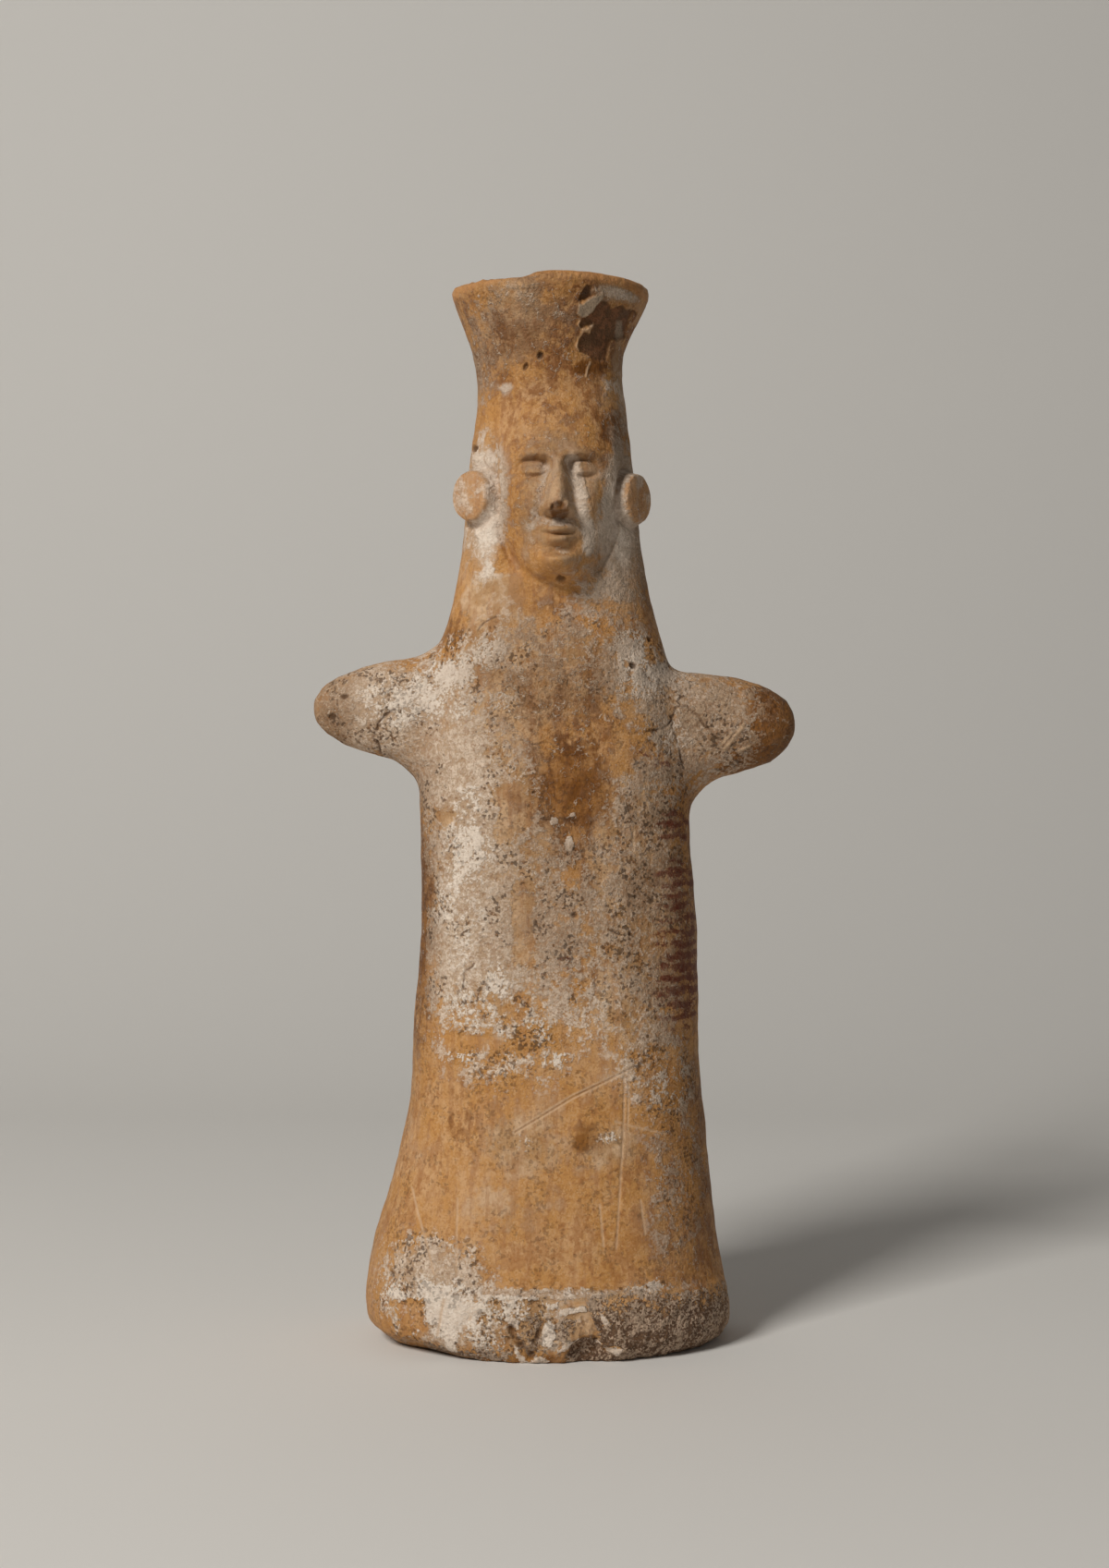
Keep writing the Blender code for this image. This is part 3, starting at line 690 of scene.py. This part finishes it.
# Grimy patches, some of them painted shade: over the headdress, which tilts away from the light, down the
# shaded left flank, neck, arm and arm tip, beside the face on its left, and under the right arm. One more
# darkens a strip down the right flank's edge.
GRIME_AND_SHADE = (
    (2, 128, 18, 20, 0.42),
    (0, 232, 34, 20, 0.90),
    (-17, 226, 9, 18, 0.60),
    (-8, 188, 7, 12, 0.35),
    (17, 190, 6, 18, 0.45),
    (0, 150, 24, 20, 1.00),
    (2, 102, 20, 28, 0.65),
    (25, 105, 14, 48, 0.95),
    (31, 42, 13, 40, 0.75),
    (16, 172, 14, 18, 0.75),
    (14, 203, 8, 14, 0.60),
    (36, 142, 18, 16, 0.85),
    (52, 140, 14, 14, 1.00),
    (54, 139, 12, 13, 1.00),
    (-52, 142, 10, 14, 1.00),
    (-42, 130, 20, 5, 0.70),
    (-30, 100, 6, 46, 0.90),
    (1, 197, 16, 26, 0.48),
)
CRUST = (
    (12, 3, 7, 4, 0.60),
    (-13, 2.0, 9, 3, 0.42),
    (-25, 20, 12, 4, 0.28),
    (-4, 5, 5, 5, 0.30),
    (-20, 1.5, 10, 2.5, 0.60),
    (-32, 2, 14, 2.5, 0.50),
    (20, 17.5, 7, 2.0, 0.35),
)
PAINT = (
    (29, 117, 7, 5, 0.60),
    (29, 106, 6.5, 4, 0.58),
    (29, 88, 7.5, 21, 0.52),
    (30.5, 80, 4, 12, 0.35),
    (25, 132, 3, 2, 0.60),
    (2.8, 86.6, 1.6, 1.2, 0.70),
    (21, 134, 2.5, 1.6, 0.60),
)

x, y, z = skin_places().T
facing_front = rise(-skin_normals()[:, 1], -0.3, 0.3)
drift = lumps(skin_places(), 24.0, 51.0)


def cover(patches, behind=0.0):
    """The share of the clay that patches of one kind cover at each vertex, also behind."""
    uncovered = np.ones(len(x))
    for middle, height, half_across, half_up, strength in patches:
        away = np.hypot((x - middle) / half_across, (z - height) / half_up)
        uncovered *= 1 - strength * (1 - rise(away, 0.25, 1.2))
    return (1 - uncovered) * facing_front + behind * (1 + 0.9 * drift) * (1 - facing_front)


def mark_skin(name, values):
    """Keep a value for every vertex of the skin, for the material to read."""
    layer = clay.data.attributes.new(name, "FLOAT", "POINT")
    layer.data.foreach_set("value", values.astype(np.float32))


# Slip stays in the hollows of the face: beside the nose, in the corners of the eyes and
# round the mouth, while its high places are rubbed down to the clay
side = np.abs(x - FACE_MIDDLE)
across = x - FACE_MIDDLE
in_hollows = np.maximum.reduce([
    1.00 * hump(line_distance(across, z, ((3.2, 198), (4.6, 191), (6.6, 184), (6.8, 179))) / 2.9),
    0.60 * hump(line_distance(across, z, ((-3.0, 197), (-4.2, 190), (-5.6, 184))) / 2.4),
    0.65 * spot(side, z, (0.0, MOUTH_LINE + 2.6), (6.0, 2.0)),
    0.55 * spot(across, z, (1.0, MOUTH_LINE - 3.8), (6.0, 1.8)),
]) * (y < -11)
# Painted shade under the brow ridges, laid in with the stains
brow_shade = 0.22 * spot(side, z, (EYE, EYE_LINE + 2.2), (4.6, 1.7)) * (y < -12)
nose_tip = rise(hump(np.hypot((across - 0.3) / 3.2, (z - NOSE_BASE - 0.6) / 2.9)), 0.1, 0.6) * (y < -18)
on_discs = np.zeros(len(x))
for _, along, away in disc_places(skin_places()):
    on_discs = np.maximum(on_discs, (1 - rise(away, DISC_RADIUS - 0.5, DISC_RADIUS)) * (along > 0.5))

still_on = (1 - lost) * (1 - chip) * (1 - on_discs) * (1 - 0.9 * rise(x, 43, 52)) * (1 - 0.85 * bare)
mark_skin("veil", np.maximum(cover(VEIL, 0.42), in_hollows) * still_on + 0.45 * on_discs)
mark_skin("slip", np.maximum.reduce([cover(SLIP, 0.12) * still_on, 0.70 * in_hollows, flakes]))
mark_skin("film", cover(FILM, 0.15) * (1 - chip) * (1 - on_discs))
# Stains and the broken nose tip, with painted shade under the brows and in the patches that hold it
mark_skin("stain_and_shade", np.maximum.reduce([cover(STAIN_AND_SHADE, 0.25), brow_shade, nose_tip]))
# Grimy patches, with the painted shade that some of them hold
mark_skin("grime_and_shade", np.clip(cover(GRIME_AND_SHADE, 0.55), 0, 1) * (1 - 0.5 * on_discs))
crust = np.maximum.reduce([cover(CRUST, 0.15), 0.95 * crust_here, 0.75 * dark_spots, 0.55 * chip])
mark_skin("crust", crust * rise(-z, -22, -8) * (1 - 0.9 * flakes))
mark_skin("paint", cover(PAINT))
mark_skin("smooth", rise(z, 160, 172) * (1 - 0.5 * rise(z, 214, 222)))
mark_skin("lip", 0.7 * rise(z + 0.12 * np.abs(x), 238.6, 240.6))
mark_skin("lost", lost * (1 - blade))
mark_skin("blade", blade)
mark_skin("cracked", np.maximum.reduce([cracked, hole, 0.45 * nose_tip]))
mark_skin("scratched", scratched)
mark_skin("discs", on_discs)

# How far each place lies in a hollow, where it is dirty and shade is painted, or stands on a ridge
DEEP_HOLLOW = 0.25
points = skin_places()
normals = skin_normals()
smooth_skin(12, np.ones(len(points)))
depth = ((skin_places() - points) * normals).sum(1)
reshape_skin(points)
mark_skin("hollow", np.clip(depth / DEEP_HOLLOW, 0, 1))
mark_skin("ridge", np.clip(-depth / DEEP_HOLLOW, 0, 1))

# The surface of the fired clay, from the clay itself out to what lies on it
CLAY_DEEP = (0.36, 0.145, 0.042, 1)
CLAY_OCHRE = (0.55, 0.275, 0.088, 1)
CLAY_PALE = (0.66, 0.41, 0.22, 1)
VEIL_LIGHT = (0.82, 0.68, 0.55, 1)
VEIL_SHADE = (0.50, 0.36, 0.25, 1)
SLIP_WHITE = (0.90, 0.79, 0.68, 1)
FILM_CREAM = (0.70, 0.49, 0.31, 1)
FILM_TAN = (0.44, 0.27, 0.14, 1)
STAIN_AND_SHADE_BROWN = (0.245, 0.090, 0.010, 1)
GRIME_AND_SHADE_TONE = (0.46, 0.37, 0.29, 1)
CRUST_DARK = (0.11, 0.065, 0.045, 1)
CRUST_PALE = (0.56, 0.42, 0.31, 1)
PAINT_RED = (0.128, 0.024, 0.010, 1)
LIP_ORANGE = (0.56, 0.25, 0.08, 1)
LOST_BROWN = (0.115, 0.055, 0.024, 1)
LOST_RUST = (0.25, 0.11, 0.05, 1)
BLADE_GREY = (0.42, 0.33, 0.24, 1)
DISC_TAN = (0.60, 0.34, 0.18, 1)
PIT_DARK = (0.055, 0.030, 0.018, 1)
SCRATCH_PALE = (0.72, 0.50, 0.32, 1)

terracotta = bpy.data.materials.new("worn terracotta")
terracotta.use_nodes = True
tree = terracotta.node_tree
shader = tree.nodes["Principled BSDF"]


def add(kind, inputs=(), **settings):
    """One node with its settings and inputs, each input a socket or a plain value."""
    made = tree.nodes.new("ShaderNode" + kind)
    for name, value in settings.items():
        setattr(made, name, value)
    for name, value in dict(inputs).items():
        if isinstance(value, bpy.types.NodeSocket):
            tree.links.new(value, made.inputs[name])
        else:
            made.inputs[name].default_value = value
    return made


def times(first, second):
    """Two shares multiplied."""
    return add("Math", {0: first, 1: second}, operation="MULTIPLY").outputs[0]


def plus(first, second):
    """Two shares added."""
    return add("Math", {0: first, 1: second}, operation="ADD").outputs[0]


def mixed(*parts):
    """Several noises added up, each by its own weight."""
    total = times(parts[0][1], parts[0][0])
    for weight, value in parts[1:]:
        total = plus(total, times(value, weight))
    return total


def ramp(value, start, end):
    """0 before start, 1 after end, with a smooth rise between."""
    limits = {"Value": value, "From Min": start, "From Max": end}
    return add("MapRange", limits, interpolation_type="SMOOTHSTEP").outputs[0]


def mark(name):
    """What was marked on the skin under that name."""
    return add("Attribute", attribute_name=name).outputs["Fac"]


def speckle(size, detail, place=None):
    """Noise spread over 0 to 1, whose lumps are size millimetres across."""
    settings = {"Scale": 1 / (size * MM), "Detail": detail, "Roughness": 0.65}
    return ramp(add("TexNoise", {"Vector": place or here, **settings}).outputs["Fac"], 0.30, 0.70)


def grains(size, place=None):
    """Grains of size millimetres across, each of its own shade from 0 to 1."""
    cells = add("TexVoronoi", {"Vector": place or here, "Scale": 1 / (size * MM)})
    return ramp(cells.outputs["Color"], 0.15, 0.85)


def spread(noise):
    """An added-up noise stretched over 0 to 1 again."""
    return ramp(noise, 0.27, 0.73)


def covered(share, pattern, softness):
    """Where a pattern from 0 to 1 lets that share of the clay be covered."""
    return ramp(plus(times(share, 1 + 2 * softness), pattern), 1, 1 + 2 * softness)


def calmer(ragged, soft):
    """The ragged cover, turning into the soft one where the clay is smooth."""
    return plus(times(ragged, plus(times(mark("smooth"), -1.0), 1.0)), times(soft, mark("smooth")))


def threads(pattern, width):
    """Thin wandering lines, where a pattern passes through its middle."""
    off_middle = add("Math", {0: plus(pattern, -0.5)}, operation="ABSOLUTE").outputs[0]
    limits = {"Value": off_middle, "From Max": width, "To Min": 1.0, "To Max": 0.0}
    return add("MapRange", limits).outputs[0]


def lay(under, over, share, blend="MIX"):
    """One colour laid over another by a share."""
    mix = add("Mix", data_type="RGBA", blend_type=blend)
    for socket, value in ((mix.inputs[0], share), (mix.inputs[6], under), (mix.inputs[7], over)):
        if isinstance(value, bpy.types.NodeSocket):
            tree.links.new(value, socket)
        else:
            socket.default_value = value
    return mix.outputs[2]


here = add("TexCoord").outputs["Object"]
upright = add("Mapping", {"Vector": here, "Scale": (1.0, 1.0, 0.16)}).outputs["Vector"]
level = add("Mapping", {"Vector": here, "Scale": (0.3, 0.3, 1.0)}).outputs["Vector"]
aside = add("Mapping", {"Vector": here, "Location": (0.3, 0.5, 0.7)}).outputs["Vector"]
broad = speckle(15, 2)
big = speckle(6.5, 3)
middling = speckle(2.3, 3)
grain = mixed((0.5, speckle(1.0, 3)), (0.5, grains(0.75)))
fine = grains(0.40)
streaks = speckle(1.9, 3, upright)

# The clay: deep, ochre and pale tones in blotches and upright smears, with a fine grain
pale = spread(mixed((0.35, broad), (0.40, big), (0.25, streaks)))
tone = lay(CLAY_OCHRE, CLAY_PALE, times(pale, 0.55))
deep = ramp(spread(mixed((0.45, big), (0.20, streaks), (0.35, middling))), 0.45, 1.00)
# Deeper clay tones where it is grimy, also where shade is painted
tone = lay(tone, CLAY_DEEP, times(deep, plus(times(mark("grime_and_shade"), 0.3), 0.4)))
tone = lay(tone, CLAY_DEEP, times(ramp(mixed((0.3, middling), (0.7, grain)), 0.52, 0.85), 0.50))
tone = lay(tone, CLAY_PALE, times(ramp(mixed((0.5, middling), (0.5, fine)), 0.45, 0.10), 0.40))
filmed = covered(mark("film"), mixed((0.5, big), (0.3, middling), (0.2, streaks)), 0.30)
film_tone = lay(FILM_TAN, FILM_CREAM, spread(mixed((0.4, broad), (0.3, big), (0.3, middling))))
tone = lay(tone, film_tone, times(filmed, 0.8))
tone = lay(tone, DISC_TAN, times(mark("discs"), 0.6))
# Brown stains, with painted shade under the brows and arms, along the foot's lower edge and on the left
# arm's tip
stained_and_shaded = covered(mark("stain_and_shade"), spread(mixed((0.45, big), (0.25, streaks), (0.30, middling))), 0.90)
tone = lay(tone, STAIN_AND_SHADE_BROWN, times(stained_and_shaded, 0.92))
stain_specks = ramp(mixed((0.6, streaks), (0.4, grain)), 0.50, 0.85)
tone = lay(tone, PIT_DARK, times(times(stained_and_shaded, stain_specks), 0.58))
tone = lay(tone, CLAY_DEEP, times(ramp(streaks, 0.52, 0.85), 0.35))

# The slip: a grainy veil, solid remains with ragged edges, and dark specks in both
grit = spread(mixed((0.20, big), (0.20, middling), (0.30, grain), (0.30, fine)))
veil_blots = spread(mixed((0.30, big), (0.30, middling), (0.25, grain), (0.15, fine)))
soft_blots = spread(mixed((0.50, big), (0.35, middling), (0.15, grain)))
veiled = calmer(covered(mark("veil"), veil_blots, 0.30), covered(mark("veil"), soft_blots, 0.80))
veil_tone = lay(VEIL_SHADE, VEIL_LIGHT, grit)
tone = lay(tone, veil_tone, times(veiled, 0.90))
slip_blots = spread(mixed((0.30, big), (0.25, middling), (0.25, grain), (0.20, fine)))
solid = calmer(covered(mark("slip"), slip_blots, 0.20), covered(mark("slip"), soft_blots, 0.90))
tone = lay(tone, SLIP_WHITE, times(solid, plus(times(mixed((0.5, grain), (0.5, fine)), 0.45), 0.55)))
chalky = ramp(plus(mark("veil"), mark("slip")), 0.05, 0.60)
clusters = speckle(8, 2, aside)
specks = ramp(plus(grains(0.60, aside), times(clusters, 0.40)), 1.15, 1.25)
specks = times(specks, plus(times(mark("smooth"), -0.85), 1.0))
specks = times(specks, plus(times(solid, -0.45), 1.0))
tone = lay(tone, PIT_DARK, times(times(specks, plus(times(chalky, 0.55), 0.45)), 0.7))
root_marks = threads(speckle(4.5, 3, aside), 0.06)
root_marks = times(root_marks, times(ramp(middling, 0.45, 0.75), ramp(mark("grime_and_shade"), 0.1, 0.7)))

# Grime and painted shade darken what they lie on, and roots have left pale crinkled marks where it is
# grimy
dirt_and_shade_blots = spread(mixed((0.5, big), (0.3, middling), (0.2, grain)))
dirt_and_shade = times(mark("grime_and_shade"), plus(times(dirt_and_shade_blots, 0.8), 0.35))
tone = lay(tone, GRIME_AND_SHADE_TONE, dirt_and_shade, "MULTIPLY")
rough_here = add("Math", {0: chalky, 1: mark("grime_and_shade")}, operation="MAXIMUM").outputs[0]
dark_grains = ramp(mixed((0.4, speckle(1.2, 3, aside)), (0.6, fine)), 0.62, 0.90)
dark_grains = times(dark_grains, plus(times(solid, -0.7), 1.0))
dark_grains = times(dark_grains, plus(times(mark("smooth"), -0.6), 1.0))
tone = lay(tone, STAIN_AND_SHADE_BROWN, times(dark_grains, plus(times(rough_here, 0.34), 0.22)))
tone = lay(tone, VEIL_LIGHT, times(root_marks, 0.65))

# Paint in short level strokes, the rubbed lip, and the lost patch with its blade
STROKE_GAP = 2.7 * MM
WAVE_AT_ONE = 0.314
rung_settings = {"Scale": WAVE_AT_ONE / STROKE_GAP, "Distortion": 4.0, "Detail": 2.0, "Detail Scale": 1.5}
rungs = add("TexWave", {"Vector": here, **rung_settings}, bands_direction="Z").outputs["Fac"]
strokes = mixed((0.22, rungs), (0.28, speckle(1.5, 3, level)), (0.15, big), (0.20, grain), (0.15, fine))
painted = covered(mark("paint"), spread(strokes), 0.16)
tone = lay(tone, PAINT_RED, times(painted, plus(times(mixed((0.5, grain), (0.5, fine)), -0.50), 1.10)))
lip_here = covered(mark("lip"), mixed((0.5, middling), (0.3, big), (0.2, grain)), 0.25)
tone = lay(tone, LIP_ORANGE, times(lip_here, 0.65))
rust = ramp(mixed((0.35, big), (0.45, middling), (0.2, grain)), 0.42, 0.80)
patch_tone = lay(LOST_BROWN, LOST_RUST, rust)
patch_tone = lay(patch_tone, BLADE_GREY, times(filmed, 0.6))
tone = lay(tone, patch_tone, times(mark("lost"), 0.93))
tone = lay(tone, BLADE_GREY, times(mark("blade"), 0.85))

# The crust: dark grains of earth with pale ones among them
crust_blots = spread(mixed((0.20, big), (0.30, middling), (0.30, grain), (0.20, fine)))
crusted = covered(mark("crust"), crust_blots, 0.14)
flecks = mixed((0.25, big), (0.25, middling), (0.20, grain), (0.30, fine))
crust_tone = lay(CRUST_DARK, CRUST_PALE, ramp(spread(flecks), 0.20, 1.00))
tone = lay(tone, crust_tone, times(crusted, 0.92))

# Scratches show pale, cracks are dirty, and hollows are dirty and painted with shade
tone = lay(tone, SCRATCH_PALE, times(mark("scratched"), 0.70))
tone = lay(tone, PIT_DARK, times(mark("cracked"), 0.75))
tone = lay(tone, STAIN_AND_SHADE_BROWN, times(times(mark("hollow"), plus(times(middling, 0.6), 0.3)), 0.55))
tone = lay(tone, CLAY_PALE, times(times(mark("ridge"), plus(times(middling, 0.6), 0.2)), 0.35))
tree.links.new(tone, shader.inputs["Base Color"])

matt = add("Math", {0: chalky, 1: crusted}, operation="MAXIMUM").outputs[0]
tree.links.new(plus(times(matt, 0.28), plus(times(middling, 0.15), 0.52)), shader.inputs["Roughness"])
shader.inputs["Specular IOR Level"].default_value = 0.22

# The grain of the surface, in millimetres, coarser where slip or crust lies, where it is grimy, and where
# shade is painted
gritty = add("Math", {0: matt, 1: mark("grime_and_shade")}, operation="MAXIMUM").outputs[0]
coarse = plus(times(gritty, 0.75), 0.25)
height = times(mixed((0.22, middling), (0.24, grain), (0.12, fine)), coarse)
height = plus(height, times(solid, 0.10))
height = plus(height, times(veiled, 0.03))
height = plus(height, times(crusted, times(grain, 0.35)))
height = plus(height, times(specks, -0.12))
height = plus(height, times(root_marks, 0.15))
bump = add("Bump", {"Height": height, "Distance": MM, "Strength": 1.0})
tree.links.new(bump.outputs["Normal"], shader.inputs["Normal"])

clay.data.materials.clear()
clay.data.materials.append(terracotta)
bpy.ops.object.shade_smooth()
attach(clay, "root")
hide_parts("figurine")

# The table and backdrop: one sheet of pale paper that curves up behind the figure.
SHEET_WIDTH = 5.0
SHEET_DEPTH = 3.7
SHEET_RISE = 1.4
SHEET_BEND = 0.35
SHEET_MIDDLE = -1.15
EDGE_REACH = 0.01
PAPER_TONE = (0.78, 0.77, 0.75, 1)
PAPER_ROUGHNESS = 0.9
bpy.ops.mesh.primitive_plane_add(size=1, location=(0, SHEET_MIDDLE, 0))
paper = bpy.context.object
paper.name = "paper_sweep"
paper.scale = (SHEET_WIDTH, SHEET_DEPTH, 1)
bpy.ops.object.transform_apply(location=True, rotation=False, scale=True)
bpy.ops.object.mode_set(mode="EDIT")
bpy.ops.mesh.select_mode(type="EDGE")
bpy.ops.mesh.select_all(action="DESELECT")
bpy.ops.object.mode_set(mode="OBJECT")
back_edge = max(vertex.co.y for vertex in paper.data.vertices)
for edge in paper.data.edges:
    ends = [paper.data.vertices[i].co for i in edge.vertices]
    edge.select = all(end.y > back_edge - EDGE_REACH for end in ends)
bpy.ops.object.mode_set(mode="EDIT")
bpy.ops.mesh.extrude_region_move(TRANSFORM_OT_translate={"value": (0, 0, SHEET_RISE)})
bpy.ops.mesh.select_all(action="DESELECT")
bpy.ops.object.mode_set(mode="OBJECT")
for edge in paper.data.edges:
    ends = [paper.data.vertices[i].co for i in edge.vertices]
    edge.select = all(end.y > back_edge - EDGE_REACH and end.z < EDGE_REACH for end in ends)
bpy.ops.object.mode_set(mode="EDIT")
bpy.ops.mesh.bevel(offset=SHEET_BEND, segments=16, affect="EDGES")
bpy.ops.object.mode_set(mode="OBJECT")
bpy.ops.object.shade_smooth()
pale_paper = bpy.data.materials.new("pale paper")
pale_paper.use_nodes = True
paper_shader = pale_paper.node_tree.nodes["Principled BSDF"]
paper_shader.inputs["Base Color"].default_value = PAPER_TONE
paper_shader.inputs["Roughness"].default_value = PAPER_ROUGHNESS
paper.data.materials.append(pale_paper)

# The light: a broad soft lamp high on the figure's right, a weak one low on its left,
# and an even glow from the room.
LIT_MIDDLE = (0, 0, 0.12)
KEY_PLACE = (-0.70, -0.92, 0.95)
KEY_SIZE = 0.4
KEY_POWER = 15.5
KEY_TINT = (1.0, 0.96, 0.90)
FILL_PLACE = (0.9, -0.9, 0.3)
FILL_SIZE = 0.8
FILL_POWER = 0.4
FILL_TINT = (1.0, 0.97, 0.93)
ROOM_TINT = (1.0, 0.98, 0.95, 1)
ROOM_GLOW = 0.07


def soft_lamp(name, place, size, power, tint):
    """A square soft lamp that looks at the figure's middle."""
    bpy.ops.object.light_add(type="AREA", location=place)
    lamp = bpy.context.object
    lamp.name = name
    lamp.rotation_euler = (Vector(LIT_MIDDLE) - Vector(place)).to_track_quat("-Z", "Y").to_euler()
    lamp.data.size = size
    lamp.data.energy = power
    lamp.data.color = tint


soft_lamp("key_lamp", KEY_PLACE, KEY_SIZE, KEY_POWER, KEY_TINT)
soft_lamp("fill_lamp", FILL_PLACE, FILL_SIZE, FILL_POWER, FILL_TINT)
room = bpy.data.worlds.new("room")
room.use_nodes = True
glow = room.node_tree.nodes["Background"]
glow.inputs["Color"].default_value = ROOM_TINT
glow.inputs["Strength"].default_value = ROOM_GLOW
bpy.context.scene.world = room
bpy.context.scene.view_settings.view_transform = "Standard"

# The camera: level, at the height of the figure's middle, as far off as its lens asks.
EYE_HEIGHT = 126.5 * MM
EYE_ASIDE = 0.64 * MM
EYE_DISTANCE = 533 * MM
LEVEL_VIEW = (math.radians(90), 0, 0)
LENS = 53.03
SENSOR = 36.0
bpy.ops.object.camera_add(location=(EYE_ASIDE, -EYE_DISTANCE, EYE_HEIGHT), rotation=LEVEL_VIEW)
camera = bpy.context.object
camera.data.sensor_fit = "VERTICAL"
camera.data.sensor_height = SENSOR
camera.data.lens = LENS
bpy.context.scene.camera = camera
